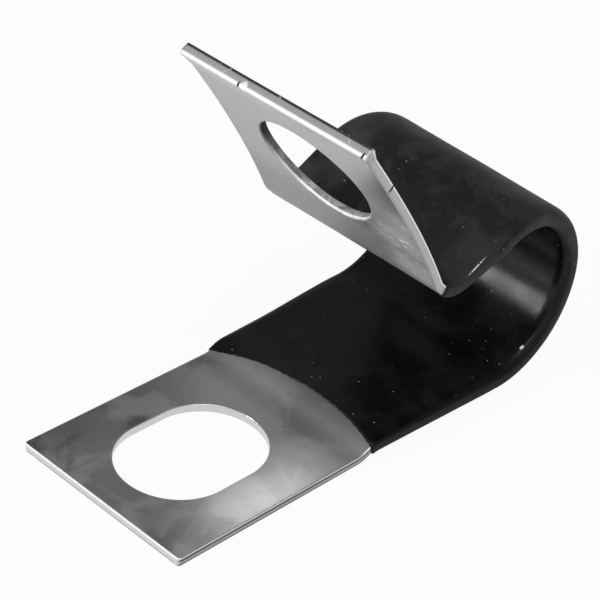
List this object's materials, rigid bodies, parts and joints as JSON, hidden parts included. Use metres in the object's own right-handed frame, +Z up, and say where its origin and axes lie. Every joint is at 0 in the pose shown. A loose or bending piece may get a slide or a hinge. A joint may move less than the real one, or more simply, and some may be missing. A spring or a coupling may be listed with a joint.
{
  "type": "p clip",
  "caption": "P-shaped cable clip: a flat steel strap looped round a cable space, vinyl coated over the loop, with a slotted lower tab and a holed upper tab standing open.",
  "frame": {"origin": "centre of the lower tab's slot, on the underside of the lower tab", "axes": "+X along the lower tab towards the loop, +Y across the strap, +Z up out of the lower tab's mating face"},
  "size_m": [0.0317, 0.0136, 0.0218],
  "materials": {
    "strap": "plain rolled sheet, lightly smudged and scuffed, sheared edges",
    "coating": "black dipped vinyl, semi-gloss, with fine dust"
  },
  "bodies": {
    "root": {"strap": "strap", "coating": "coating"}
  },
  "joints": []
}
